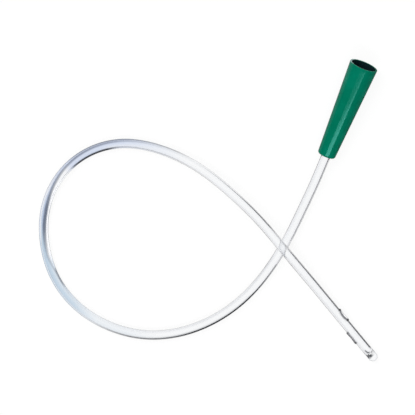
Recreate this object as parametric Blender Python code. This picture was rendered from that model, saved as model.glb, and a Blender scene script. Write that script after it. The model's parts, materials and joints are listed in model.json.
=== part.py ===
"""A urethral catheter: a clear hollow tube with a rounded closed tip and two drainage eyes,
fixed in the socket of a green funnel-shaped connector.

Metres, +Z up. The catheter lies on the floor (Z = 0) in one open loop that passes over
itself. The connector lies on its side along Y with its mouth towards +Y, and the origin is
on the floor under its middle.
"""

import math

import bmesh
import bpy
import numpy as np
from mathutils import Matrix, Vector

MM = 0.001

# The tube
TUBE_DIAMETER = 4.0 * MM
TUBE_WALL = 0.6 * MM
TIP_THICKNESS = 3.6 * MM
TUBE_SIDES_RESOLUTION = 4
TUBE_STEP = 6.0 * MM
ROUTE_SAMPLES = 4000

# The two drainage eyes, as distances from the tip's end to each eye's middle
LEFT_EYE_FROM_TIP = 24.5 * MM
RIGHT_EYE_FROM_TIP = 14.2 * MM
EYE_LENGTH = 5.6 * MM
EYE_WIDTH = 2.2 * MM
EYE_SIDES = 24

# The connector
CONNECTOR_LENGTH = 43.0 * MM
MOUTH_DIAMETER = 12.3 * MM
CONNECTOR_WALL = 0.9 * MM
COLLAR_WALL = 1.6 * MM
SOCKET_DEPTH = 12.0 * MM
STOP_THICKNESS = 1.5 * MM
FLOOR_SLOPE = 1.2 * MM
COLLAR_ROUNDING = 0.8 * MM
RIM_ROUNDING = 0.2 * MM
SOCKET_LEAD_IN = 0.3 * MM
CONNECTOR_SIDES = 40

# The gap between the tube and the socket that holds it, at its side and at its end
FIT_GAP = 0.3 * MM

# The tube leaves the connector straight for this long
STRAIGHT_RUN = 12.0 * MM

# The free part of the tube's route, from the connector to the tip. Each point is X and Y in
# millimetres, and the height of the tube's underside over the floor in tube diameters: it
# comes down from the connector, lies on the floor round the loop, and rises in a long low
# hump to pass over itself.
ROUTE = [
    (-0.5, -47.5, 0.150),
    (-1.5, -63.5, 0.035),
    (-4.0, -79.0, 0.0),
    (-9.0, -94.5, 0.0),
    (-17.0, -108.0, 0.0),
    (-28.5, -119.5, 0.0),
    (-42.5, -127.0, 0.0),
    (-58.0, -129.5, 0.0),
    (-73.5, -127.0, 0.0),
    (-87.5, -119.0, 0.0),
    (-97.5, -106.5, 0.0),
    (-103.0, -91.5, 0.0),
    (-102.5, -76.0, 0.0),
    (-95.5, -61.5, 0.0),
    (-83.0, -51.5, 0.0),
    (-67.5, -47.5, 0.05),
    (-49.5, -48.0, 0.32),
    (-32.0, -52.5, 0.70),
    (-15.5, -59.0, 1.01),
    (0.5, -67.5, 1.10),
    (16.5, -76.5, 0.79),
    (33.5, -86.5, 0.23),
    (54.0, -98.0, 0.0),
]

TUBE_RADIUS = TUBE_DIAMETER / 2
LUMEN_RADIUS = TUBE_RADIUS - TUBE_WALL
SOCKET_RADIUS = TUBE_RADIUS + FIT_GAP
COLLAR_RADIUS = SOCKET_RADIUS + COLLAR_WALL
MOUTH_RADIUS = MOUTH_DIAMETER / 2

# The connector rests along one line of its cone, so its axis rises towards the mouth by the
# cone's half angle, and the collar's end stands half its own width above the floor
CONE_ANGLE = math.atan2(MOUTH_RADIUS - COLLAR_RADIUS, CONNECTOR_LENGTH)
CONNECTOR_AXIS = Vector((0, math.cos(CONE_ANGLE), math.sin(CONE_ANGLE)))
CONNECTOR_REACH = (
    CONNECTOR_LENGTH * math.cos(CONE_ANGLE)
    + (MOUTH_RADIUS - COLLAR_RADIUS) * math.sin(CONE_ANGLE)
)
COLLAR_END = Vector((0, -CONNECTOR_REACH / 2, COLLAR_RADIUS * math.cos(CONE_ANGLE)))


def clear_scene():
    for obj in list(bpy.data.objects):
        bpy.data.objects.remove(obj, do_unlink=True)


def add_object(name, data):
    obj = bpy.data.objects.new(name, data)
    bpy.context.scene.collection.objects.link(obj)
    return obj


def shade_round(mesh):
    mesh.shade_smooth()
    mesh.set_sharp_from_angle(angle=math.radians(40))


def as_cutter(obj):
    obj.hide_render = True
    obj.display_type = "WIRE"
    return obj


def cut(obj, cutter):
    modifier = obj.modifiers.new(cutter.name, "BOOLEAN")
    modifier.operation = "DIFFERENCE"
    modifier.solver = "EXACT"
    modifier.object = cutter


def clear_vinyl():
    material = bpy.data.materials.new("clear_vinyl")
    material.use_nodes = True
    shader = material.node_tree.nodes["Principled BSDF"]
    shader.inputs["Base Color"].default_value = (0.93, 0.95, 0.98, 1)
    shader.inputs["Roughness"].default_value = 0.08
    shader.inputs["Metallic"].default_value = 0
    shader.inputs["IOR"].default_value = 1.53
    shader.inputs["Transmission Weight"].default_value = 1
    return material


def green_vinyl():
    material = bpy.data.materials.new("green_vinyl")
    material.use_nodes = True
    shader = material.node_tree.nodes["Principled BSDF"]
    shader.inputs["Base Color"].default_value = (0.0, 0.178, 0.105, 1)
    shader.inputs["Roughness"].default_value = 0.32
    shader.inputs["Metallic"].default_value = 0
    return material


def smooth_curve(points, count):
    """`count` points along the natural cubic spline through `points`, by chord length.

    Between two points the curve is a cubic, and the bend is continuous from one to the next
    and nil at both ends.
    """
    points = np.array(points, float)
    chord = np.linalg.norm(np.diff(points, axis=0), axis=1)
    knots = np.concatenate([[0], np.cumsum(chord)])
    inner = np.arange(1, len(points) - 1)
    matrix = np.eye(len(points))
    matrix[inner, inner - 1] = chord[:-1]
    matrix[inner, inner] = 2 * (chord[:-1] + chord[1:])
    matrix[inner, inner + 1] = chord[1:]
    slope = np.diff(points, axis=0) / chord[:, None]
    right = np.zeros_like(points)
    right[inner] = 6 * np.diff(slope, axis=0)
    bend = np.linalg.solve(matrix, right)
    along = np.linspace(0, knots[-1], count)
    left = np.clip(np.searchsorted(knots, along, side="right") - 1, 0, len(chord) - 1)
    width = chord[left][:, None]
    before = (knots[left + 1] - along)[:, None]
    after = (along - knots[left])[:, None]
    return (
        (bend[left] * before**3 + bend[left + 1] * after**3) / (6 * width)
        + (points[left] / width - bend[left] * width / 6) * before
        + (points[left + 1] / width - bend[left + 1] * width / 6) * after
    )


class Route:
    """The tube's centreline, read by distance from the tube's end inside the socket."""

    def __init__(self):
        inserted = SOCKET_DEPTH - FIT_GAP
        straight = [
            COLLAR_END + CONNECTOR_AXIS * inserted,
            COLLAR_END + CONNECTOR_AXIS * (inserted / 2),
            COLLAR_END,
            COLLAR_END - CONNECTOR_AXIS * STRAIGHT_RUN,
        ]
        free = [
            (x * MM, y * MM, TUBE_RADIUS + underside * TUBE_DIAMETER)
            for x, y, underside in ROUTE
        ]
        self.points = smooth_curve([tuple(p) for p in straight] + free, ROUTE_SAMPLES)
        self.points[:, 2] = np.maximum(self.points[:, 2], TUBE_RADIUS)
        steps = np.linalg.norm(np.diff(self.points, axis=0), axis=1)
        self.along = np.concatenate([[0], np.cumsum(steps)])
        self.length = float(self.along[-1])

    def at(self, distances):
        """The points at these distances. Before the start the line goes straight on."""
        distances = np.atleast_1d(distances)
        places = [np.interp(distances, self.along, self.points[:, k]) for k in range(3)]
        past = np.minimum(distances, 0)[:, None] * np.array(CONNECTOR_AXIS)
        return np.stack(places, axis=1) - past

    def direction(self, distance):
        behind, ahead = self.at([distance - TUBE_RADIUS, distance + TUBE_RADIUS])
        return Vector(ahead - behind).normalized()


def round_bar(name, route, start, end, radius):
    """A bar along the route with a flat start and a domed end, as a mesh object.

    It is a bevelled curve of straight steps: the last rings follow a half circle.
    """
    dome_start = end - radius
    steps = math.ceil((dome_start - start) / TUBE_STEP)
    straight = np.linspace(start, dome_start, steps + 1)
    dome = np.radians([15, 30, 45, 60, 72, 82])
    distances = np.concatenate([straight, dome_start + radius * np.sin(dome)])
    share = np.concatenate([np.ones(len(straight)), np.cos(dome)])

    curve = bpy.data.curves.new(name + "_line", "CURVE")
    curve.dimensions = "3D"
    curve.bevel_depth = radius
    curve.bevel_resolution = TUBE_SIDES_RESOLUTION
    curve.use_fill_caps = True
    spline = curve.splines.new("POLY")
    spline.points.add(len(distances) - 1)
    for point, place, part in zip(spline.points, route.at(distances), share):
        point.co = (*place, 1)
        point.radius = part
    line = add_object(name + "_line", curve)
    mesh = bpy.data.meshes.new_from_object(line)
    bpy.data.objects.remove(line, do_unlink=True)

    weld = bmesh.new()
    weld.from_mesh(mesh)
    bmesh.ops.remove_doubles(weld, verts=weld.verts, dist=0.00001)
    bmesh.ops.recalc_face_normals(weld, faces=weld.faces)
    weld.to_mesh(mesh)
    weld.free()
    shade_round(mesh)
    return add_object(name, mesh)


def eye_cutter(name, route, from_tip, side):
    """An oval bar from the middle of the tube out through one side of its wall.

    The oval is long along the tube. `side` is +1 for the left of the way to the tip.
    """
    distance = route.length - from_tip
    forward = route.direction(distance)
    outward = Vector((0, 0, 1)).cross(forward).normalized() * side
    upward = outward.cross(forward)
    place = Matrix.Translation(Vector(route.at(distance)[0]))
    turn = Matrix((forward, upward, outward)).transposed().to_4x4()

    oval = bmesh.new()
    rim = bmesh.ops.create_circle(oval, cap_ends=True, segments=EYE_SIDES, radius=1)
    bmesh.ops.scale(oval, vec=(EYE_LENGTH / 2, EYE_WIDTH / 2, 1), verts=rim["verts"])
    pushed = bmesh.ops.extrude_face_region(oval, geom=oval.faces[:])
    far = [item for item in pushed["geom"] if isinstance(item, bmesh.types.BMVert)]
    bmesh.ops.translate(oval, vec=(0, 0, TUBE_DIAMETER), verts=far)
    bmesh.ops.transform(oval, matrix=place @ turn, verts=oval.verts)
    bmesh.ops.recalc_face_normals(oval, faces=oval.faces)
    mesh = bpy.data.meshes.new(name)
    oval.to_mesh(mesh)
    oval.free()
    return as_cutter(add_object(name, mesh))


def make_tube(route):
    """The tube: its lumen is open at the connector's end and stops short of the tip."""
    tube = round_bar("tube", route, 0, route.length, TUBE_RADIUS)
    lumen_end = route.length - TIP_THICKNESS
    lumen = round_bar("lumen_cutter", route, -TUBE_DIAMETER, lumen_end, LUMEN_RADIUS)
    cut(tube, as_cutter(lumen))
    cut(tube, eye_cutter("left_eye_cutter", route, LEFT_EYE_FROM_TIP, 1))
    cut(tube, eye_cutter("right_eye_cutter", route, RIGHT_EYE_FROM_TIP, -1))
    tube.data.materials.append(clear_vinyl())
    return tube


def rounded(corner, before, after, size, steps=4):
    """The corner replaced by a curve that leaves each side `size` from it."""
    corner, before, after = (np.array(p, float) for p in (corner, before, after))
    start = corner + size * (before - corner) / np.linalg.norm(before - corner)
    end = corner + size * (after - corner) / np.linalg.norm(after - corner)
    share = np.linspace(0, 1, steps + 1)[:, None]
    return list(
        (1 - share) ** 2 * start + 2 * share * (1 - share) * corner + share**2 * end
    )


def connector_section():
    """The connector's wall cut along its axis, as (distance from the axis, height) points.

    Height runs from the collar's end to the mouth. The wall keeps its thickness along the
    cone, and the collar holds the socket, the stop and the hole through it.
    """
    taper = math.tan(CONE_ANGLE)
    stop_top = SOCKET_DEPTH + STOP_THICKNESS
    floor_edge = stop_top + FLOOR_SLOPE
    wall_across = CONNECTOR_WALL / math.cos(CONE_ANGLE)
    rim_outer = (MOUTH_RADIUS, CONNECTOR_LENGTH)
    rim_inner = (MOUTH_RADIUS - wall_across, CONNECTOR_LENGTH)
    collar_outer = (COLLAR_RADIUS, 0)
    socket_edge = (SOCKET_RADIUS + SOCKET_LEAD_IN, 0)
    cavity_edge = (COLLAR_RADIUS + floor_edge * taper - wall_across, floor_edge)
    return (
        rounded(rim_outer, rim_inner, collar_outer, RIM_ROUNDING)
        + rounded(collar_outer, rim_outer, socket_edge, COLLAR_ROUNDING)
        + [
            socket_edge,
            (SOCKET_RADIUS, SOCKET_LEAD_IN),
            (SOCKET_RADIUS, SOCKET_DEPTH),
            (LUMEN_RADIUS, SOCKET_DEPTH),
            (LUMEN_RADIUS, stop_top),
            cavity_edge,
        ]
        + rounded(rim_inner, cavity_edge, rim_outer, RIM_ROUNDING)
    )


def make_connector():
    """The connector's section turned once round its axis, laid on its side."""
    turned = bmesh.new()
    ring = [turned.verts.new((r, 0, height)) for r, height in connector_section()]
    edges = [turned.edges.new((a, b)) for a, b in zip(ring, ring[1:] + ring[:1])]
    bmesh.ops.spin(
        turned,
        geom=ring + edges,
        cent=(0, 0, 0),
        axis=(0, 0, 1),
        angle=2 * math.pi,
        steps=CONNECTOR_SIDES,
        use_merge=True,
    )
    bmesh.ops.recalc_face_normals(turned, faces=turned.faces)
    mesh = bpy.data.meshes.new("funnel_connector")
    turned.to_mesh(mesh)
    turned.free()
    shade_round(mesh)
    connector = add_object("funnel_connector", mesh)
    connector.location = COLLAR_END
    connector.rotation_euler = (CONE_ANGLE - math.pi / 2, 0, 0)
    connector.data.materials.append(green_vinyl())
    return connector


def main():
    clear_scene()
    make_connector()
    make_tube(Route())


main()
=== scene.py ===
"""The looks of a urethral catheter: a clear tube in one loose loop and its green funnel connector.

Metres, +Z up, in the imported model's own frame. The camera and the tube come first, then the
connector, and last the floor, the surroundings and the lamps.
"""

import json
import math

import bpy
import numpy as np
from mathutils import Matrix, Vector


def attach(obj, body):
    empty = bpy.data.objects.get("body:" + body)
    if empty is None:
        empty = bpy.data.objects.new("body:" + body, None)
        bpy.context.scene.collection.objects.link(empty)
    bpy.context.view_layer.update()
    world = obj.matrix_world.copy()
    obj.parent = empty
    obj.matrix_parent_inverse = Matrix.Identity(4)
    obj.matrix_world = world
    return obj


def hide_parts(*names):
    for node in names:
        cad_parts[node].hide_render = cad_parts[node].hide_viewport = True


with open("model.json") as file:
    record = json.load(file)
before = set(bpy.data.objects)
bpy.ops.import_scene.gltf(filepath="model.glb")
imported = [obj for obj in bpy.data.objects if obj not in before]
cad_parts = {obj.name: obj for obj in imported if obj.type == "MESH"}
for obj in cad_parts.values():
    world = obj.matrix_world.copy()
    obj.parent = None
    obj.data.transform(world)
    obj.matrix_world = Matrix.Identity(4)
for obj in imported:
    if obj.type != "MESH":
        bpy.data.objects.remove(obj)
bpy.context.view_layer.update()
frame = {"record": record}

MM = 0.001

# The tube, as the solids have it
TUBE_RADIUS = 2.0 * MM
TUBE_WALL = 0.6 * MM
TIP_THICKNESS = 3.6 * MM
LUMEN_RADIUS = TUBE_RADIUS - TUBE_WALL

# The drainage eyes, as distances from the tip's end to each eye's middle. EYES also has the
# side that each is on: 1 on the tube's left and -1 on its right.
LEFT_EYE_FROM_TIP = 24.5 * MM
RIGHT_EYE_FROM_TIP = 14.2 * MM
EYE_HALF_LENGTH = 2.8 * MM
EYE_HALF_WIDTH = 1.1 * MM
EYE_OUTER_ROUNDING = 0.22 * MM
EYE_INNER_ROUNDING = 0.12 * MM
EYE_LIP = 0.38 * MM
EYES = ((LEFT_EYE_FROM_TIP, 1), (RIGHT_EYE_FROM_TIP, -1))

# The painted shade on the eyes' cut edges, in place of the dark that the room shows in them:
# how far it spreads from an eye's oval, as a share of the oval, between which distances from
# the tube's centreline it grows, and how far below the eye's middle it begins
CUT_SPREAD = 0.3
CUT_FADED = 1.3 * MM
CUT_DARK = 1.58 * MM
CUT_BELOW = 0.5 * MM

# The connector
CONNECTOR_LENGTH = 43.0 * MM
MOUTH_RADIUS = 6.15 * MM
COLLAR_RADIUS = 3.9 * MM
CONNECTOR_WALL = 0.9 * MM
SOCKET_DEPTH = 12.0 * MM
STOP_THICKNESS = 1.5 * MM
FLOOR_SLOPE = 1.2 * MM
FIT_GAP = 0.3 * MM
SOCKET_CLEARANCE = 0.02 * MM
STRAIGHT_RUN = 12.0 * MM

# The connector's place: its axis points out of the mouth
AXIS = np.array(frame["record"]["mounts"][0]["axis"])
MOUTH = np.array(frame["record"]["mounts"][0]["pos_m"]) * (0, 1, 1)
COLLAR_END = MOUTH - AXIS * CONNECTOR_LENGTH

# The tube's free route from the connector to the tip, as X, Y and Z of its centreline. These
# are the solids' points. A program traced the tube's middle in the photo, laid it on the floor
# and smoothed it. Its points were rounded to half a millimetre, and a few were moved.
ROUTE = [
    (-0.0005, -0.0475, 0.00260),
    (-0.0015, -0.0635, 0.00214),
    (-0.0040, -0.0790, 0.00200),
    (-0.0090, -0.0945, 0.00200),
    (-0.0170, -0.1080, 0.00200),
    (-0.0285, -0.1195, 0.00200),
    (-0.0425, -0.1270, 0.00200),
    (-0.0580, -0.1295, 0.00200),
    (-0.0735, -0.1270, 0.00200),
    (-0.0875, -0.1190, 0.00200),
    (-0.0975, -0.1065, 0.00200),
    (-0.1030, -0.0915, 0.00200),
    (-0.1025, -0.0760, 0.00200),
    (-0.0955, -0.0615, 0.00200),
    (-0.0830, -0.0515, 0.00200),
    (-0.0675, -0.0475, 0.00220),
    (-0.0495, -0.0480, 0.00328),
    (-0.0320, -0.0525, 0.00480),
    (-0.0155, -0.0590, 0.00604),
    (0.0005, -0.0675, 0.00640),
    (0.0165, -0.0765, 0.00516),
    (0.0335, -0.0865, 0.00292),
    (0.0540, -0.0980, 0.00200),
]
ROUTE_SAMPLES = 4000

# The camera looks at a point on the floor from 15 degrees off the vertical, towards +Y. Its
# target, roll and lens come from the same tracing as the route.
CAMERA_TARGET = Vector((-0.03842, -0.06387, 0))
CAMERA_DISTANCE = 1.6
CAMERA_TILT = math.radians(15)
CAMERA_ROLL = math.radians(21.6096)
CAMERA_LENS = 322.05
CAMERA_SENSOR = 36
CAMERA_CLIP = (0.01, 50)


def ease(value, start, end):
    """0 before the start, 1 past the end, and 3t^2 - 2t^3 between them."""
    t = np.clip((value - start) / (end - start), 0, 1)
    return t * t * (3 - 2 * t)


def make_camera():
    """The camera at the photograph's angle, turned about its line of sight by the roll."""
    back = Vector((0, math.sin(CAMERA_TILT), math.cos(CAMERA_TILT)))
    up = Vector((-math.sin(CAMERA_ROLL), math.cos(CAMERA_ROLL), 0))
    up = (up - up.dot(back) * back).normalized()
    right = up.cross(back)
    camera = bpy.data.objects.new("camera", bpy.data.cameras.new("camera"))
    camera.data.lens = CAMERA_LENS
    camera.data.sensor_width = CAMERA_SENSOR
    camera.data.clip_start, camera.data.clip_end = CAMERA_CLIP
    turn = Matrix((right, up, back)).transposed().to_4x4()
    camera.matrix_world = Matrix.Translation(CAMERA_TARGET + CAMERA_DISTANCE * back) @ turn
    bpy.context.scene.collection.objects.link(camera)
    bpy.context.scene.camera = camera


def smooth_curve(points, count):
    """`count` points along the natural cubic spline through `points`, by chord length.

    Between two points the curve is a cubic, and the bend is continuous from one to the next
    and nil at both ends.
    """
    points = np.array(points, float)
    chord = np.linalg.norm(np.diff(points, axis=0), axis=1)
    knots = np.concatenate([[0], np.cumsum(chord)])
    inner = np.arange(1, len(points) - 1)
    matrix = np.eye(len(points))
    matrix[inner, inner - 1] = chord[:-1]
    matrix[inner, inner] = 2 * (chord[:-1] + chord[1:])
    matrix[inner, inner + 1] = chord[1:]
    slope = np.diff(points, axis=0) / chord[:, None]
    right = np.zeros_like(points)
    right[inner] = 6 * np.diff(slope, axis=0)
    bend = np.linalg.solve(matrix, right)
    along = np.linspace(0, knots[-1], count)
    left = np.clip(np.searchsorted(knots, along, side="right") - 1, 0, len(chord) - 1)
    width = chord[left][:, None]
    before = (knots[left + 1] - along)[:, None]
    after = (along - knots[left])[:, None]
    return (
        (bend[left] * before**3 + bend[left + 1] * after**3) / (6 * width)
        + (points[left] / width - bend[left] * width / 6) * before
        + (points[left + 1] / width - bend[left + 1] * width / 6) * after
    )


class Route:
    """The tube's centreline, read by distance from the tube's end inside the socket."""

    def __init__(self):
        inserted = SOCKET_DEPTH - FIT_GAP
        straight = [
            COLLAR_END + AXIS * inserted,
            COLLAR_END + AXIS * (inserted / 2),
            COLLAR_END,
            COLLAR_END - AXIS * STRAIGHT_RUN,
        ]
        self.points = smooth_curve([tuple(p) for p in straight] + ROUTE, ROUTE_SAMPLES)
        self.points[:, 2] = np.maximum(self.points[:, 2], TUBE_RADIUS)
        steps = np.linalg.norm(np.diff(self.points, axis=0), axis=1)
        self.along = np.concatenate([[0], np.cumsum(steps)])
        self.length = float(self.along[-1])
        forward = np.gradient(self.points, self.along, axis=0)
        forward /= np.linalg.norm(forward, axis=1)[:, None]
        self.ahead = forward[-1]
        self.left = np.cross((0, 0, 1), forward)
        self.left /= np.linalg.norm(self.left, axis=1)[:, None]
        self.up = np.cross(forward, self.left)

    def read(self, values, distances):
        """One of the route's lists of vectors, read between its samples."""
        return np.stack([np.interp(distances, self.along, values[:, k]) for k in range(3)], -1)

    def place(self, distances, leftward, upward):
        """Points beside the centreline: so far along it, then to its left and upwards."""
        return (
            self.read(self.points, distances)
            + self.read(self.left, distances) * leftward[..., None]
            + self.read(self.up, distances) * upward[..., None]
        )


class Skin:
    """Points and faces gathered into one closed mesh. Faces wind so that they face outwards."""

    def __init__(self):
        self.points = []
        self.straight = []
        self.faces = []
        self.count = 0

    def add(self, points, straight):
        """Keeps points, each with its place on the straightened piece. Gives their numbers."""
        size = points[..., 0].size
        numbers = self.count + np.arange(size).reshape(points.shape[:-1])
        self.points.append(points.reshape(-1, 3))
        self.straight.append(straight.reshape(-1, 3))
        self.count += size
        return numbers

    def bands(self, rings, keep=None, inward=False):
        """Four-sided faces between rings of points, each ring closed on itself."""
        beside = np.roll(rings, -1, axis=1)
        faces = np.stack([rings[:-1], beside[:-1], beside[1:], rings[1:]], -1)
        faces = faces.reshape(-1, 4) if keep is None else faces[keep]
        self.faces.extend((faces[:, ::-1] if inward else faces).tolist())

    def fan(self, ring, centre, inward=False):
        """Three-sided faces from a ring of points to one point."""
        faces = np.stack([ring, np.roll(ring, -1), np.full_like(ring, centre)], -1)
        self.faces.extend((faces[:, ::-1] if inward else faces).tolist())

    def stitch(self, outer, inner):
        """Three-sided faces between two rings with unlike numbers of points.

        Both start at the same angle and run evenly. The points are met in order of angle, and
        each closes a triangle with the one before it on its ring and the last of the other.
        """
        turn = np.concatenate([np.arange(1, len(outer) + 1) / len(outer),
                               np.arange(1, len(inner) + 1) / len(inner)])
        is_outer = np.arange(len(turn)) < len(outer)
        order = np.argsort(turn, kind="stable")
        met_outer = np.cumsum(is_outer[order])
        met_inner = np.cumsum(~is_outer[order])
        on_outer = is_outer[order]
        outer_ring = np.append(outer, outer[0])
        inner_ring = np.append(inner, inner[0])
        for_outer = np.stack([outer_ring[met_outer], outer_ring[met_outer - 1],
                              inner_ring[met_inner]], -1)[on_outer]
        for_inner = np.stack([inner_ring[met_inner - 1], inner_ring[met_inner],
                              outer_ring[met_outer]], -1)[~on_outer]
        self.faces.extend(for_outer.tolist() + for_inner.tolist())

    def piece(self, name, material):
        """The object, whose attribute `straightened` has each point's straightened place."""
        mesh = bpy.data.meshes.new(name)
        mesh.from_pydata(np.concatenate(self.points).tolist(), [], self.faces)
        mesh.shade_smooth()
        straight = mesh.attributes.new("straightened", "FLOAT_VECTOR", "POINT")
        straight.data.foreach_set("vector", np.concatenate(self.straight).ravel())
        mesh.materials.append(material)
        piece = bpy.data.objects.new(name, mesh)
        bpy.context.scene.collection.objects.link(piece)
        return piece


# How finely the tube's skin is divided
OUTER_SIDES = 64
INNER_SIDES = 48
OUTER_STEP = 0.62 * MM
INNER_STEP = 1.5 * MM
TIP_STEP = 0.35 * MM
TIP_ZONE = 34.0 * MM
DOME_STEPS = 13

# How far an eye's field reaches round the tube and along it, in faces, and how many loops of
# points lie on its outer wall, on both rounded edges and on its inner wall
EYE_FIELD_SIDES = 9
EYE_FIELD_STEPS = 11
OUTER_LOOPS = 8
OUTER_EDGE_LOOPS = 4
INNER_EDGE_LOOPS = 4
INNER_LOOPS = 4


def ring_distances(route, step, dome_start):
    """Even steps along the tube, and fine ones near the tip, where the eyes are."""
    zone_start = route.length - TIP_ZONE
    coarse = np.linspace(0, zone_start, math.ceil(zone_start / step) + 1)
    fine = np.arange(1, int((dome_start - zone_start) / TIP_STEP)) * TIP_STEP + zone_start
    return np.concatenate([coarse, fine, [dome_start]])


def wall_surface(skin, route, radius, sides, step, end):
    """One surface of the tube's wall: circles of `radius` carried along the route, then a dome.

    A point at distance s and angle a lies radius * cos(a) to the left of the centreline and
    radius * sin(a) above it. In the dome the radius shrinks as a quarter circle does.
    """
    dome_start = end - radius
    dome = np.radians(np.linspace(0, 90, DOME_STEPS + 1)[1:-1])
    distances = ring_distances(route, step, dome_start)
    distances = np.concatenate([distances, dome_start + radius * np.sin(dome)])
    radii = np.full(len(distances), radius)
    radii[-len(dome):] = radius * np.cos(dome)
    angle = np.linspace(0, 2 * math.pi, sides, endpoint=False)
    leftward = radii[:, None] * np.cos(angle)
    upward = radii[:, None] * np.sin(angle)
    along = np.repeat(distances[:, None], sides, axis=1)
    points = route.place(along, leftward, upward)
    rings = skin.add(points, np.stack([along, leftward, upward], -1))
    apex = np.array([end])
    nil = np.zeros(1)
    centre = skin.add(route.place(apex, nil, nil), np.stack([apex, nil, nil], -1))
    return rings, distances, centre[0]


def field_around(rings, distances, sides, middle, side):
    """The rectangle of the wall's grid round an eye: its rim's numbers, places and faces."""
    first = int(np.argmin(np.abs(distances - middle))) - EYE_FIELD_STEPS
    last = first + 2 * EYE_FIELD_STEPS
    centre = 0 if side > 0 else sides // 2
    low, high = centre - EYE_FIELD_SIDES, centre + EYE_FIELD_SIDES
    rows = np.concatenate([np.full(high - low, first), np.arange(first, last),
                           np.full(high - low, last), np.arange(last, first, -1)])
    columns = np.concatenate([np.arange(low, high), np.full(last - first, high),
                              np.arange(high, low, -1), np.full(last - first, low)])
    numbers = rings[rows, columns % sides]
    turn = (columns - centre) * (2 * math.pi / sides)
    inside = np.zeros((len(distances) - 1, sides), bool)
    inside[first:last, np.arange(low, high) % sides] = True
    return numbers, distances[rows] - middle, turn, inside


def eye(skin, route, middle, side, outer_field, inner_field):
    """A drainage eye: loops from the outer wall's field over a rounded lip, through the wall
    and on to the inner wall's field.

    Each loop is an oval round the eye's axis, grown by a margin, and lies on the wall's circle
    or on the quarter circle that rounds its edge. Towards a field the ovals turn into the
    field's rectangle in equal shares.
    """
    outer_rim, outer_along, outer_turn, _ = outer_field
    inner_rim, inner_along, inner_turn, _ = inner_field
    phase = np.arctan2(outer_turn / np.abs(outer_turn).max(),
                       outer_along / np.abs(outer_along).max())

    def oval(margin):
        return ((EYE_HALF_LENGTH + margin) * np.cos(phase),
                (EYE_HALF_WIDTH + margin) * np.sin(phase))

    def on_field(share, along, turn, margin, radius, lip):
        """A loop on the wall, `share` of the way from the field's rim to the eye's edge."""
        oval_along, oval_upward = oval(margin)
        oval_turn = np.arcsin(oval_upward / radius)
        place_along = along + share * (oval_along - along)
        place_turn = turn + share * (oval_turn - turn)
        raised = radius + lip * share**3
        return place_along, raised * np.cos(place_turn), raised * np.sin(place_turn)

    def on_edge(margin, radius, lip, drop):
        """A loop on the rounded edge, `drop` below the wall's circle or above it."""
        along, upward = oval(margin)
        return along, np.sqrt((radius + lip)**2 - upward**2) - drop, upward

    loops = []
    for share in np.linspace(0, 1, OUTER_LOOPS + 1)[1:]:
        loops.append(on_field(share, outer_along, outer_turn, EYE_OUTER_ROUNDING,
                              TUBE_RADIUS, EYE_LIP))
    for bend in np.radians(np.linspace(0, 90, OUTER_EDGE_LOOPS + 1)[1:]):
        margin = EYE_OUTER_ROUNDING * (1 - np.sin(bend))
        drop = EYE_OUTER_ROUNDING * (1 - np.cos(bend))
        loops.append(on_edge(margin, TUBE_RADIUS, EYE_LIP, drop))
    for bend in np.radians(np.linspace(90, 0, INNER_EDGE_LOOPS)):
        margin = EYE_INNER_ROUNDING * (1 - np.sin(bend))
        drop = -EYE_INNER_ROUNDING * (1 - np.cos(bend))
        loops.append(on_edge(margin, LUMEN_RADIUS, 0, drop))
    for share in np.linspace(1, 0, INNER_LOOPS + 2)[1:-1]:
        loops.append(on_field(share, inner_along, inner_turn, EYE_INNER_ROUNDING,
                              LUMEN_RADIUS, 0))
    along, outward, upward = (np.array(part) for part in zip(*loops))
    points = route.place(middle + along, side * outward, side * upward)
    straight = np.stack([middle + along, side * outward, side * upward], -1)
    rings = skin.add(points, straight)
    skin.bands(np.vstack([outer_rim, rings, inner_rim]))


def eye_edge_painted_shade(straight, length):
    """How dark the painted shade at the eyes' cut edges makes each point: 1 on the oval round an
    eye, and exp(-(d / spread)^2) beside it.

    The distance d is counted in shares of the eye's half length and half width. The dark fades
    out through the wall, from the outside inwards, and only each eye's upper half has it.
    """
    dark = 0
    near_skin = ease(np.hypot(straight[:, 1], straight[:, 2]), CUT_FADED, CUT_DARK)
    for from_tip, side in EYES:
        on_side = side * straight[:, 1] > LUMEN_RADIUS / 2
        away = np.hypot((straight[:, 0] - length + from_tip) / EYE_HALF_LENGTH,
                        straight[:, 2] / EYE_HALF_WIDTH) - 1
        above = ease(straight[:, 2], -CUT_BELOW, 0)
        dark = dark + on_side * above * np.exp(-((away / CUT_SPREAD) ** 2))
    return dark * near_skin


def make_tube(route, material):
    """The tube as one closed skin: outer wall, domed tip, lumen and the two eyes."""
    skin = Skin()
    outer, outer_at, tip = wall_surface(
        skin, route, TUBE_RADIUS, OUTER_SIDES, OUTER_STEP, route.length)
    inner, inner_at, lumen_end = wall_surface(
        skin, route, LUMEN_RADIUS, INNER_SIDES, INNER_STEP, route.length - TIP_THICKNESS)
    outer_keep = np.ones((len(outer_at) - 1, OUTER_SIDES), bool)
    inner_keep = np.ones((len(inner_at) - 1, INNER_SIDES), bool)
    for from_tip, side in EYES:
        middle = route.length - from_tip
        outer_field = field_around(outer, outer_at, OUTER_SIDES, middle, side)
        inner_field = field_around(inner, inner_at, INNER_SIDES, middle, side)
        outer_keep &= ~outer_field[3]
        inner_keep &= ~inner_field[3]
        eye(skin, route, middle, side, outer_field, inner_field)
    skin.bands(outer, outer_keep)
    skin.fan(outer[-1], tip)
    skin.bands(inner, inner_keep, inward=True)
    skin.fan(inner[-1], lumen_end, inward=True)
    skin.stitch(outer[0], inner[0])
    tube = skin.piece("clear_tube", material)
    # The painted shade at the eyes' cut edges, for the material
    cut = tube.data.attributes.new("cut", "FLOAT", "POINT")
    cut.data.foreach_set("value", eye_edge_painted_shade(np.concatenate(skin.straight), route.length))
    return tube


CONNECTOR_SIDES = 128
# How deep into the mouth the painted shade takes to grow to full; the painted glint on the rim
# reaches as far down
SHADE_DEPTH = 0.16 * MM
RIM_THICKNESS = 0.75 * MM
LEAD_IN = 2.5 * MM

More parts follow.
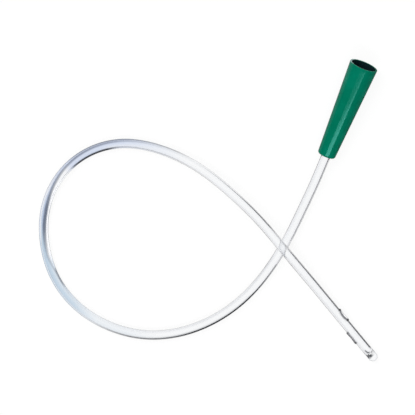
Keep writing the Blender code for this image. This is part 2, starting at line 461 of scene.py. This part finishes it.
# The connector's roundings, as distances from each corner
RIM_ROUNDING = 0.16 * MM
COLLAR_ROUNDING = 0.9 * MM
SOCKET_ROUNDING = 0.15 * MM
STOP_ROUNDING = 0.1 * MM
HOLE_ROUNDING = 0.2 * MM
CAVITY_ROUNDING = 0.6 * MM
LEAD_IN_ROUNDING = 0.8 * MM

# Where the points of its straight sides lie, as shares of the way from one corner to the next
OUTSIDE_SHARES = np.linspace(0.97, 0.05, 40)[:, None]
CAVITY_SHARES = np.linspace(0.05, 0.95, 24)[:, None]

# The painted glint on the rim, a pale highlight painted into its colour: its least strength, and
# between which shares of the way to the left it grows to full
GLINT_LEAST = 0.03
GLINT_SPAN = (0.7, 0.98)


def rounded(corner, before, after, size, steps=6):
    """The corner replaced by a parabola that leaves each side `size` from it."""
    corner, before, after = (np.array(p, float) for p in (corner, before, after))
    start = corner + size * (before - corner) / np.linalg.norm(before - corner)
    end = corner + size * (after - corner) / np.linalg.norm(after - corner)
    share = np.linspace(0, 1, steps + 1)[:, None]
    return (1 - share) ** 2 * start + 2 * share * (1 - share) * corner + share**2 * end


def connector_section():
    """The connector's wall cut along its axis, as (distance from the axis, height) points.

    Also gives how many points come before the cavity's.
    """
    taper = (MOUTH_RADIUS - COLLAR_RADIUS) / CONNECTOR_LENGTH
    across = CONNECTOR_WALL * math.hypot(1, taper)
    floor_edge = SOCKET_DEPTH + STOP_THICKNESS + FLOOR_SLOPE
    socket = TUBE_RADIUS + SOCKET_CLEARANCE
    rim_outer = (MOUTH_RADIUS, CONNECTOR_LENGTH)
    rim_inner = (MOUTH_RADIUS - RIM_THICKNESS, CONNECTOR_LENGTH)
    lead_in = (MOUTH_RADIUS - LEAD_IN * taper - across, CONNECTOR_LENGTH - LEAD_IN)
    collar = (COLLAR_RADIUS, 0)
    socket_edge = (socket, 0)
    socket_top = (socket, SOCKET_DEPTH)
    cavity_edge = (COLLAR_RADIUS + floor_edge * taper - across, floor_edge)
    hole_top = (LUMEN_RADIUS, SOCKET_DEPTH + STOP_THICKNESS)
    hole_foot = (LUMEN_RADIUS, SOCKET_DEPTH)
    outside = np.array(collar) + OUTSIDE_SHARES * (np.array(rim_outer) - np.array(collar))
    inside = np.array(cavity_edge) + CAVITY_SHARES * (np.array(lead_in) - np.array(cavity_edge))
    before_cavity = np.vstack([
        rounded(rim_outer, rim_inner, collar, RIM_ROUNDING),
        outside,
        rounded(collar, rim_outer, socket_edge, COLLAR_ROUNDING),
        rounded(socket_edge, collar, socket_top, SOCKET_ROUNDING, steps=3),
        rounded(socket_top, socket_edge, (0, SOCKET_DEPTH), STOP_ROUNDING, steps=2),
        rounded(hole_foot, socket_top, hole_top, STOP_ROUNDING, steps=2),
        rounded(hole_top, hole_foot, cavity_edge, HOLE_ROUNDING, steps=3),
    ])
    cavity = [
        rounded(cavity_edge, hole_top, lead_in, CAVITY_ROUNDING, steps=5),
        inside,
        rounded(lead_in, cavity_edge, rim_inner, LEAD_IN_ROUNDING),
        rounded(rim_inner, lead_in, rim_outer, RIM_ROUNDING),
    ]
    return np.vstack([before_cavity, *cavity]), len(before_cavity)


def make_connector(material):
    """The connector's section turned once round its axis.

    A point of the section at distance r and height h, turned by an angle, lies r to the side
    of the axis at that angle, h up the axis from the collar's end. The attribute `inside` is 1
    in the mouth's hollow, where it paints a near-black shade, and `rim` is a painted glint,
    strongest on the left of the rim.
    """
    section, cavity_start = connector_section()
    radius, height = section.T
    across = np.array([1.0, 0, 0])
    over = np.cross(AXIS, across)
    angle = np.linspace(0, 2 * math.pi, CONNECTOR_SIDES, endpoint=False)
    radial = np.cos(angle)[:, None] * across + np.sin(angle)[:, None] * over
    rings = radius[:, None, None] * radial + COLLAR_END + height[:, None, None] * AXIS
    straight = np.stack(np.broadcast_arrays(
        height[:, None], radius[:, None] * np.cos(angle), radius[:, None] * np.sin(angle)), -1)
    skin = Skin()
    numbers = skin.add(rings, straight)
    skin.bands(np.vstack([numbers, numbers[:1]]), inward=True)
    connector = skin.piece("green_connector", material)
    # Painted shade: near-black in the mouth's hollow, in place of the dark it lies in
    depth = (CONNECTOR_LENGTH - height) / SHADE_DEPTH
    in_cavity = np.arange(len(section)) >= cavity_start
    inside = np.where(in_cavity, np.clip(depth, 0, 1), 0)
    shade = connector.data.attributes.new("inside", "FLOAT", "POINT")
    shade.data.foreach_set("value", np.repeat(inside, CONNECTOR_SIDES))
    # Painted highlight: a pale glint on the rim, strongest on its left
    on_rim = ease(height - CONNECTOR_LENGTH, -SHADE_DEPTH, 0)
    glint = GLINT_LEAST + (1 - GLINT_LEAST) * ease(-np.cos(angle), *GLINT_SPAN)
    rim = connector.data.attributes.new("rim", "FLOAT", "POINT")
    rim.data.foreach_set("value", (on_rim[:, None] * glint).ravel())
    return connector


def new_material(name):
    """A node material. Gives the material, its nodes, its links and its main shader."""
    material = bpy.data.materials.new(name)
    material.use_nodes = True
    tree = material.node_tree
    return material, tree.nodes, tree.links, tree.nodes["Principled BSDF"]


def attribute(nodes, name):
    """The node that reads one of the mesh's attributes."""
    reader = nodes.new("ShaderNodeAttribute")
    reader.attribute_name = name
    return reader


def noise(nodes, links, vector, scale, detail):
    """Smooth random values from 0 to 1."""
    pattern = nodes.new("ShaderNodeTexNoise")
    pattern.inputs["Scale"].default_value = scale
    pattern.inputs["Detail"].default_value = detail
    links.new(vector, pattern.inputs["Vector"])
    return pattern.outputs["Fac"]


def to_range(nodes, links, value, low, high, new_low, new_high):
    """The value carried in proportion from one range to another, and held at its ends."""
    ranger = nodes.new("ShaderNodeMapRange")
    ranger.inputs["From Min"].default_value = low
    ranger.inputs["From Max"].default_value = high
    ranger.inputs["To Min"].default_value = new_low
    ranger.inputs["To Max"].default_value = new_high
    links.new(value, ranger.inputs["Value"])
    return ranger.outputs["Result"]


def bump(nodes, links, height, strength, distance):
    """A normal that leans as a surface with this height would."""
    bumper = nodes.new("ShaderNodeBump")
    bumper.inputs["Strength"].default_value = strength
    bumper.inputs["Distance"].default_value = distance
    links.new(height, bumper.inputs["Height"])
    return bumper.outputs["Normal"]


def blend_colours(nodes, links, share, first, second):
    """The second colour in this share over the first. Both are colours or sockets."""
    node = nodes.new("ShaderNodeMix")
    node.data_type = "RGBA"
    links.new(share, node.inputs["Factor"])
    for name, colour in (("A", first), ("B", second)):
        if isinstance(colour, tuple):
            node.inputs[name].default_value = (*colour, 1)
        else:
            links.new(colour, node.inputs[name])
    return node.outputs["Result"]


def facing_ramp(nodes, links, stops):
    """Colours by how squarely the surface is looked at, from 0, squarely, to 1, at its edge."""
    facing = nodes.new("ShaderNodeLayerWeight")
    facing.inputs["Blend"].default_value = 0.5
    return ramp(nodes, links, facing.outputs["Facing"], stops)


def ramp(nodes, links, value, stops):
    """Colours at places from 0 to 1, with a smooth blend between neighbours."""
    colours = nodes.new("ShaderNodeValToRGB")
    elements = colours.color_ramp.elements
    while len(elements) < len(stops):
        elements.new(1)
    for element, (position, colour) in zip(elements, stops):
        element.position = position
        element.color = (*colour, 1)
    links.new(value, colours.inputs["Fac"])
    return colours.outputs["Color"]


def clear_vinyl():
    """Clear drawn vinyl: faint die lines along the tube and a slightly uneven polish. A blue-grey
    cast where the wall is looked through edgewise is partly its own faint tint and partly painted
    shade for its dark edges, and the eyes' cut edges have a painted near-black shade."""
    material, nodes, links, shader = new_material("clear_vinyl_drawn")
    shader.inputs["IOR"].default_value = 1.45
    shader.inputs["Transmission Weight"].default_value = 1
    # Painted shade: the colour darkens towards the wall's edges as they are looked at, partly the
    # vinyl's own tint along the longer way through it and partly painted shade for the dark edge
    # lines
    cast = facing_ramp(nodes, links, [
        (0.0, (0.99, 0.995, 1.0)),
        (0.3, (0.98, 0.985, 1.0)),
        (0.65, (0.88, 0.9, 0.93)),
        (1.0, (0.8, 0.82, 0.86)),
    ])
    # Painted near-black shade at the eyes' cut edges
    cut = attribute(nodes, "cut").outputs["Fac"]
    tinted = blend_colours(nodes, links, cut, cast, (0.01, 0.01, 0.02))
    links.new(tinted, shader.inputs["Base Color"])
    place = attribute(nodes, "straightened")
    stretch = nodes.new("ShaderNodeMapping")
    stretch.inputs["Scale"].default_value = (0.02, 1, 1)
    links.new(place.outputs["Vector"], stretch.inputs["Vector"])
    lines = noise(nodes, links, stretch.outputs["Vector"], 1800, 2)
    haze = noise(nodes, links, place.outputs["Vector"], 260, 3)
    links.new(to_range(nodes, links, haze, 0.3, 0.7, 0.02, 0.07), shader.inputs["Roughness"])
    links.new(bump(nodes, links, lines, 0.05, 0.00002), shader.inputs["Normal"])
    return material


def green_vinyl():
    """Deep green moulded vinyl: faint clouding, a fine orange peel and an uneven gloss. Inside
    the mouth the green goes to a painted near-black shade, and the rim has a painted pale glint."""
    material, nodes, links, shader = new_material("green_vinyl_moulded")
    place = nodes.new("ShaderNodeTexCoord").outputs["Object"]
    cloud = noise(nodes, links, place, 120, 4)
    clouding = to_range(nodes, links, cloud, 0.35, 0.65, 0, 1)
    green = blend_colours(nodes, links, clouding, (0.0, 0.131, 0.075), (0.0, 0.153, 0.091))
    # Painted shade, near-black in the mouth
    inside = attribute(nodes, "inside").outputs["Fac"]
    with_painted_shade = blend_colours(nodes, links, inside, green, (0.005, 0.014, 0.018))
    # Painted highlight: the pale glint on the rim
    rim = attribute(nodes, "rim").outputs["Fac"]
    with_painted_glint = blend_colours(nodes, links, rim, with_painted_shade, (0.30, 0.44, 0.42))
    links.new(with_painted_glint, shader.inputs["Base Color"])
    shader.inputs["Specular IOR Level"].default_value = 0.4
    shader.inputs["Specular Tint"].default_value = (0.25, 1.0, 0.92, 1)
    links.new(to_range(nodes, links, cloud, 0.3, 0.7, 0.11, 0.15), shader.inputs["Roughness"])
    peel = noise(nodes, links, place, 700, 2)
    links.new(bump(nodes, links, peel, 0.008, 0.0001), shader.inputs["Normal"])
    return material


# The floor: its half width in metres, how far under the pieces it lies, how much of its shading
# the camera sees, where in X its mirror image fades, and how bright that is before and after. The
# fade is a painted shade: reflections see the floor darker to the right, in the connector's shadow
FLOOR_HALF = 6.0
FLOOR_DROP = 0.05 * MM
SHADOW_SHARE = 0.12
MIRROR_FADE = (-2 * MM, 6 * MM)
MIRRORED_FLOOR = (0.3, 0.08)

# The ribbon of floor under the tube, in millimetres: its half width, how wide its sides fade,
# its step across, where it starts, where its steps along get finer, where it ends, and both
# steps along
RIBBON_HALF = 6.0
RIBBON_FADE = 1.5
RIBBON_STEP = 0.1
RIBBON_START = 13.0
RIBBON_TIP = 400.0
RIBBON_END = 422.0
RIBBON_COARSE = 1.0
RIBBON_FINE = 0.25

# Its height over the floor, and what it rises by for each millimetre along, so that the upper
# side of the crossing is also the upper one on the ribbon
RIBBON_LIFT = 0.02
RIBBON_RISE = 0.00003

# How far the tube's edges see pale floor in place of the room's dark sides: (millimetres
# along the tube, share), for its outer and its inner side in the loop. Across the middle of
# the ribbon the second gives way to the first.
PALE_OUTSIDE = [
    (13, 0.6), (57, 0.6), (61, 0.4), (70, 0.4), (82, 0), (112, 0), (124, 0.25), (142, 0.3),
    (158, 0.85), (175, 1), (236, 1), (240, 0.7), (256, 0.6), (284, 0.6), (295, 1), (316, 1),
    (325, 0.5), (340, 0.35), (347, 0.5), (356, 0.5), (366, 0.3), (405.6, 0.1), (406.8, 1),
]
PALE_INSIDE = [
    (13, 0.55), (68, 0.55), (80, 0.85), (148, 0.9), (160, 1), (176, 1), (179, 0.45),
    (185, 0.4), (187, 1), (236, 1), (240, 0), (255, 0), (259, 0.85), (276, 0.85), (295, 0.75),
    (340, 0.7), (346, 0.4), (353, 0.4), (360, 0.85), (411, 0.85),
]
PALE_MIDDLE = (-0.6, 0.6)

# The colours painted on the ribbon: tints of the surroundings, a shadow line and shade
PALE_BLUE = (0.49, 0.635, 0.77)
LILAC = (0.66, 0.73, 0.89)
SLATE = (0.09, 0.12, 0.18)
SHADE = (0.02, 0.025, 0.035)

# The slate line along the tube, a painted shadow that the tube shows, at millimetres along it:
# where its middle lies across the ribbon, with the tube's left positive, how strong it is and how
# wide
LINE_MIDDLE = [
    (176, -2.5), (184, -2.0), (192, -0.4), (200, -0.3), (212, -0.6), (218, -0.3), (224, 0.3),
    (230, 0.75), (236, 1.25), (242, 1.6), (260, 1.9), (285, 2.5),
]
LINE_STRENGTH = [
    (170, 0), (178, 0.5), (186, 0.3), (194, 0.4), (205, 0.92), (214, 0.93), (222, 0.76),
    (234, 0.6), (244, 0.65), (262, 0.45), (272, 0.25), (284, 0.08), (300, 0),
]
LINE_WIDTH = [
    (182, 0.6), (196, 1.1), (206, 1.25), (214, 1.25), (222, 0.9), (240, 1.0), (262, 1.1),
]

# Stretches of the tube: where each starts, how long it takes to rise to that, where it ends and
# how long it takes to fall after it. On the first, the painted blue and lilac tints keep to the
# left of the painted slate line's middle, and come in over the softness on both sides of it.
SPLIT_STRETCH = (195, 8, 232, 6)
LINE_SOFTNESS = 0.5
# The lilac, a painted tint of the surroundings: its stretch and its strength
LILAC_STRETCH = (212, 16, 258, 36)
LILAC_STRENGTH = 0.9

# The pale blue, a painted tint of the bluish surroundings: its strength along the tube, its
# share on the right side of the ribbon, and where that share rises to full
BLUE_STRENGTH = [(128, 0), (142, 0.2), (156, 0.22), (168, 0.75), (198, 0.9), (224, 0)]
BLUE_LEAST = 0.6
BLUE_RISE = (-1.4, 0.4)

# Casts on one side of the ribbon, painted light and shade: a painted white edge, painted light on
# the inner side, painted shade along two stretches, a painted glow a little over white, and a
# rise in the pale share. Each has a strength, a stretch of the tube, and where across the ribbon
# the cast begins and is full, with the tube's left positive
WHITE_EDGE = (0.7, (204, 8, 222, 10), (1.3, 2.2))
INNER_LIGHT = (0.45, (257, 8, 274, 12), (0.3, -1.2))
OUTER_SHADE = (0.3, (84, 4, 112, 44), (1.1, 2.0))
INNER_SHADE = (0.7, (238, 3, 252, 12), (-1.5, -2.2))
INNER_GLOW = (0.16, (192, 8, 226, 10), (-0.6, -1.6))
INNER_PALE = (0.12, (238, 3, 256, 4), (-1.8, -3.0))

# The tube's end, in millimetres along it, and the painted dark shade under the tip, in place of
# the room's dark sides that the tip shows: (millimetres from that end, to the left) at both ends
# of a streak, its half width and how dark it is
TUBE_END = 411.7
TIP_SHADE_STREAKS = [
    ((5.7, -1.3), (3.8, -0.7), 0.55, 1.0),
    ((4.1, -0.45), (3.5, -0.4), 0.6, 1.0),
    ((3.4, -0.2), (2.6, -0.1), 0.3, 1.0),
    ((4.2, 0.1), (4.0, 0.1), 0.35, 0.8),
    ((3.6, 0.65), (3.5, 0.65), 0.25, 0.6),
    ((2.3, -0.4), (2.2, -0.4), 0.18, 0.8),
]

# A spot at the tip with no pale share, so that its edges there show the room's dark sides: its
# middle, given as for the painted shade streaks, and between which distances from it the pale
# share comes back
TIP_SPOT = (5.0, 0.4)
TIP_SPOT_EDGE = (0.4, 0.8)

# Dark sides of the room by direction, as seen through the tube's edges: middle of a patch on
# the unit disc, its radius, its soft edge and how dark it is. The first four are the rounded
# result of a least squares fit to the brightness across the tube in the photo. The last two
# were set one by one.
DARK_SIDES = [
    ((0.44, -0.07), 0.77, 0.12, 1.0),
    ((0.45, -0.86), 0.44, 0.23, 0.60),
    ((0.54, 0.56), 0.26, 0.17, 0.60),
    ((0.47, -0.29), 0.45, 0.25, 0.50),
    ((-0.75, 0.25), 0.32, 0.20, 0.55),
    ((-0.40, 0.35), 0.26, 0.15, 0.80),
]

# Between these heights of direction the room gives way to the plain light above the horizon
HORIZON_FADE = (-0.35, 0)


def math_node(nodes, links, operation, first, second):
    """The operation on two values, each a number or a socket."""
    node = nodes.new("ShaderNodeMath")
    node.operation = operation
    for socket, value in zip(node.inputs, (first, second)):
        if isinstance(value, (int, float)):
            socket.default_value = value
        else:
            links.new(value, socket)
    return node.outputs["Value"]


def blend_shaders(nodes, links, share, first, second):
    """The second shader in this share, given as a number or a socket, over the first."""
    node = nodes.new("ShaderNodeMixShader")
    if isinstance(share, float):
        node.inputs["Fac"].default_value = share
    else:
        links.new(share, node.inputs["Fac"])
    links.new(first, node.inputs[1])
    links.new(second, node.inputs[2])
    return node.outputs["Shader"]


def soft_patch(nodes, links, place, patch):
    """The patch's strength inside its reach, easing to nothing across its soft edge."""
    (x, y), reach, edge, strength = patch
    away = nodes.new("ShaderNodeVectorMath")
    away.operation = "DISTANCE"
    away.inputs[1].default_value = (x, y, 0)
    links.new(place, away.inputs[0])
    return to_range(nodes, links, away.outputs["Value"], reach, reach + edge, strength, 0)


def pale_floor():
    """Plain white, which the camera sees at full white but for the object's soft shadow.

    Rays that have passed straight through the clear tube see it white too, with the ribbon's
    painted shade, shadow line and tints. Rays that the tube's wall has turned aside go past the
    floor to the dark sides of the room, less so where the ribbon is pale.
    """
    material = bpy.data.materials.new("pale_floor")
    material.use_nodes = True
    nodes, links = material.node_tree.nodes, material.node_tree.links
    nodes.clear()
    output = nodes.new("ShaderNodeOutputMaterial")
    path = nodes.new("ShaderNodeLightPath")
    cast = attribute(nodes, "cast")
    pale = attribute(nodes, "pale")
    plain = nodes.new("ShaderNodeBsdfDiffuse")
    plain.inputs["Color"].default_value = (0.9, 0.9, 0.9, 1)
    white = nodes.new("ShaderNodeEmission")
    mirrored = nodes.new("ShaderNodeEmission")
    place = nodes.new("ShaderNodeTexCoord").outputs["Object"]
    apart = nodes.new("ShaderNodeSeparateXYZ")
    links.new(place, apart.inputs["Vector"])
    # Painted shade in the floor's mirror image: darker to the right, in the connector's shadow
    links.new(to_range(nodes, links, apart.outputs["X"], *MIRROR_FADE, *MIRRORED_FLOOR),
              mirrored.inputs["Strength"])
    tinted = nodes.new("ShaderNodeEmission")
    passed = nodes.new("ShaderNodeBsdfTransparent")
    links.new(cast.outputs["Color"], tinted.inputs["Color"])
    links.new(cast.outputs["Color"], passed.inputs["Color"])
    shadowed = blend_shaders(nodes, links, SHADOW_SHARE, white.outputs[0], plain.outputs[0])
    edge = blend_shaders(nodes, links, pale.outputs["Fac"], passed.outputs[0], tinted.outputs[0])
    turned = math_node(nodes, links, "GREATER_THAN", path.outputs["Glossy Depth"], 0.5)
    through = blend_shaders(nodes, links, turned, tinted.outputs[0], edge)
    shown = plain.outputs[0]
    for ray, shader in (
        ("Is Camera Ray", shadowed),
        ("Is Glossy Ray", mirrored.outputs[0]),
        ("Is Transmission Ray", through),
    ):
        shown = blend_shaders(nodes, links, path.outputs[ray], shown, shader)
    links.new(shown, output.inputs["Surface"])
    return material


def stretch_of(along, start, rise, end, fall):
    """1 along a stretch of the tube, easing in before its start and out after its end."""
    return ease(along, start - rise, start) * (1 - ease(along, end, end + fall))


def side_cast(along, across, cast):
    """How strong a cast on one side of the ribbon is."""
    strength, stretch, (begins, full) = cast
    return strength * stretch_of(along, *stretch) * ease(across, begins, full)


def read_table(table, along):
    """A table of (millimetres along the tube, value), read in straight lines between its rows."""
    return np.interp(along, *np.array(table, float).T)


def tip_painted_shade(along, across):
    """How dark the ribbon's painted shade is at the tip: soft spots and streaks, the strongest of
    them at each place. A streak is all that lies near the straight line between its ends."""
    dark = np.zeros(along.shape)
    for (from_tip, start), (end_from_tip, end), size, strength in TIP_SHADE_STREAKS:
        first = np.array([TUBE_END - from_tip, start])
        way = np.array([TUBE_END - end_from_tip, end]) - first
        at = np.stack([along, across], -1) - first
        share = np.clip(at @ way / (way @ way), 0, 1)
        away = np.linalg.norm(at - share[..., None] * way, axis=-1)
        dark = np.maximum(dark, strength * np.exp(-((away / size) ** 2)))
    return dark


def ribbon_cast(along, across):
    """The colour of the ribbon seen through the tube, at millimetres along and across.

    It is white times each painted cast at its strength: a painted pale blue tint of the
    surroundings under the bottom left, a painted lilac tint on the left and above it, a slate line
    of painted shadow that wanders from the tube's inner edge to its outer one, the tube's own dark
    shade painted at two stretches, and painted dark streaks at the tip. The lilac and the blue are
    fainter at a painted white outer edge and where the inner side is painted light. A painted glow
    on the inner side of the left is a little over white. All fades to white at the ribbon's sides.
    """
    line = read_table(LINE_MIDDLE, along)
    beyond_line = ease(across - line, -LINE_SOFTNESS, LINE_SOFTNESS)
    one_sided = stretch_of(along, *SPLIT_STRETCH) * (1 - beyond_line)
    covered = (1 - one_sided) * (1 - side_cast(along, across, WHITE_EDGE))
    blue_share = BLUE_LEAST + (1 - BLUE_LEAST) * ease(across, *BLUE_RISE)
    blue = read_table(BLUE_STRENGTH, along) * covered * blue_share
    lilac = LILAC_STRENGTH * stretch_of(along, *LILAC_STRETCH) * covered
    lilac *= 1 - side_cast(along, across, INNER_LIGHT)
    # The slate line, a painted shadow
    beside_line = (across - line) / read_table(LINE_WIDTH, along)
    slate = read_table(LINE_STRENGTH, along) * np.exp(-(beside_line**4))
    colour = np.ones(along.shape + (3,)) + side_cast(along, across, INNER_GLOW)[..., None]
    for strength, cast in (
        (blue, PALE_BLUE),
        (lilac, LILAC),
        (slate, SLATE),
        (side_cast(along, across, OUTER_SHADE), SHADE),
        (side_cast(along, across, INNER_SHADE), SHADE),
        (tip_painted_shade(along, across), SHADE),
    ):
        colour *= 1 - strength[..., None] * (1 - np.array(cast))
    fade = 1 - ease(np.abs(across), RIBBON_HALF - RIBBON_FADE, RIBBON_HALF)
    return 1 - fade[..., None] * (1 - colour)


def ribbon_pale(along, across):
    """How far the tube's edges see pale floor, at millimetres along and across.

    The outer and the inner table meet in the middle of the ribbon. One stretch is paler at
    its inner side, and one spot at the tip isn't pale.
    """
    outside = ease(across, *PALE_MIDDLE)
    pale = (
        outside * read_table(PALE_OUTSIDE, along)
        + (1 - outside) * read_table(PALE_INSIDE, along)
        + side_cast(along, across, INNER_PALE)
    )
    from_tip, leftward = TIP_SPOT
    return pale * ease(np.hypot(TUBE_END - from_tip - along, leftward - across), *TIP_SPOT_EDGE)


def make_floor(route):
    """A plane, and on it a ribbon that follows the tube, which holds the painted shade, shadow
    line and tints that rays through the clear tube see.

    The ribbon's point at a distance along and across is the route's there, dropped to the
    floor along the camera's line of sight. Past the tip the ribbon goes straight on.
    """
    h = FLOOR_HALF
    plane = np.array([(-h, -h, 0), (h, -h, 0), (h, h, 0), (-h, h, 0)])
    along = np.concatenate([np.arange(RIBBON_START, RIBBON_TIP, RIBBON_COARSE),
                            np.arange(RIBBON_TIP, RIBBON_END, RIBBON_FINE)])
    across = np.arange(-RIBBON_HALF, RIBBON_HALF + RIBBON_STEP / 2, RIBBON_STEP)
    grid_along, grid_across = np.meshgrid(along, across, indexing="ij")
    ribbon = route.place(grid_along * MM, grid_across * MM, np.zeros_like(grid_across))
    ribbon += np.maximum(grid_along * MM - route.length, 0)[..., None] * route.ahead
    ribbon[..., 1] -= ribbon[..., 2] * math.tan(CAMERA_TILT)
    ribbon[..., 2] = (RIBBON_LIFT + RIBBON_RISE * grid_along) * MM
    numbers = len(plane) + np.arange(grid_along.size).reshape(grid_along.shape)
    squares = np.stack([numbers[:-1, 1:], numbers[:-1, :-1],
                        numbers[1:, :-1], numbers[1:, 1:]], -1)
    faces = [(0, 1, 2, 3)] + squares.reshape(-1, 4).tolist()
    points = np.vstack([plane, ribbon.reshape(-1, 3)])

    # The ribbon's painted shade, shadow line and tints
    cast = np.ones((len(points), 4))
    cast[len(plane):, :3] = ribbon_cast(grid_along, grid_across).reshape(-1, 3)
    pale = np.zeros(len(points))
    pale[len(plane):] = ribbon_pale(grid_along, grid_across).ravel()

    mesh = bpy.data.meshes.new("floor")
    mesh.from_pydata(points.tolist(), [], faces)
    mesh.attributes.new("cast", "FLOAT_COLOR", "POINT").data.foreach_set("color", cast.ravel())
    mesh.attributes.new("pale", "FLOAT", "POINT").data.foreach_set("value", pale)
    mesh.materials.append(pale_floor())
    floor = bpy.data.objects.new("floor", mesh)
    floor.location = (0, 0, -FLOOR_DROP)
    bpy.context.scene.collection.objects.link(floor)
    return floor


def make_world():
    """Plain light from all round, brighter overhead. The camera sees white past the floor.

    Rays that the tube's wall has turned aside see white with the room's dark sides in it,
    which fade towards the horizon.
    """
    world = bpy.data.worlds.new("studio")
    world.use_nodes = True
    bpy.context.scene.world = world
    nodes, links = world.node_tree.nodes, world.node_tree.links
    nodes.clear()
    output = nodes.new("ShaderNodeOutputWorld")
    path = nodes.new("ShaderNodeLightPath")
    place = nodes.new("ShaderNodeTexCoord")
    split = nodes.new("ShaderNodeSeparateXYZ")
    links.new(place.outputs["Generated"], split.inputs["Vector"])
    flat = nodes.new("ShaderNodeCombineXYZ")
    links.new(split.outputs["X"], flat.inputs["X"])
    links.new(split.outputs["Y"], flat.inputs["Y"])

    glow = ramp(nodes, links, split.outputs["Z"], [
        (0.0, (0.30, 0.30, 0.31)),
        (0.5, (0.55, 0.55, 0.55)),
        (1.0, (0.95, 0.95, 0.95)),
    ])
    light = 1.0
    for side in DARK_SIDES:
        dark = soft_patch(nodes, links, flat.outputs["Vector"], side)
        undimmed = math_node(nodes, links, "SUBTRACT", 1, dark)
        light = math_node(nodes, links, "MULTIPLY", light, undimmed)
    room = ramp(nodes, links, light, [(0, (0.01, 0.012, 0.016)), (1, (1, 1, 1))])
    risen = to_range(nodes, links, split.outputs["Z"], *HORIZON_FADE, 0, 1)
    beyond = blend_colours(nodes, links, risen, room, glow)

    sky = nodes.new("ShaderNodeBackground")
    links.new(glow, sky.inputs["Color"])
    mirrored = nodes.new("ShaderNodeBackground")
    mirrored.inputs["Color"].default_value = (0.02, 0.02, 0.022, 1)
    through = nodes.new("ShaderNodeBackground")
    links.new(beyond, through.inputs["Color"])
    white = nodes.new("ShaderNodeBackground")
    white.inputs["Color"].default_value = (1, 1, 1, 1)
    shown = sky.outputs[0]
    for ray, background in (
        ("Is Glossy Ray", mirrored),
        ("Is Transmission Ray", through),
        ("Is Camera Ray", white),
    ):
        shown = blend_shaders(nodes, links, path.outputs[ray], shown, background.outputs[0])
    links.new(shown, output.inputs["Surface"])


def make_lamp(name, place, target, size, power):
    """A rectangular lamp at a place, turned to its target. Its size is (width, height)."""
    data = bpy.data.lights.new(name, "AREA")
    data.shape = "RECTANGLE"
    data.size, data.size_y = size
    data.energy = power
    lamp = bpy.data.objects.new(name, data)
    lamp.location = place
    lamp.rotation_mode = "QUATERNION"
    lamp.rotation_quaternion = (Vector(place) - Vector(target)).to_track_quat("Z", "Y")
    bpy.context.scene.collection.objects.link(lamp)
    return lamp


make_camera()

route = Route()
tube = make_tube(route, clear_vinyl())
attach(tube, "root")
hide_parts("tube")

connector = make_connector(green_vinyl())
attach(connector, "root")
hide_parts("funnel_connector")

floor = make_floor(route)
make_world()
strip = make_lamp("strip_lamp", (0.15, -0.37, 0.62), (0.15, -0.03, 0), (0.5, 0.14), 1.4)
strip.visible_transmission = False
# The strip would leave white specks in the clear tube, so it lights the others only
lit_by_strip = bpy.data.collections.new("lit_by_strip")
lit_by_strip.objects.link(connector)
lit_by_strip.objects.link(floor)
strip.light_linking.receiver_collection = lit_by_strip
window = make_lamp("window", (-0.6, 0.5, 0.9), (-0.04, -0.06, 0), (0.8, 0.8), 8)
window.visible_glossy = False
window.visible_transmission = False

bpy.context.scene.view_settings.view_transform = "Standard"
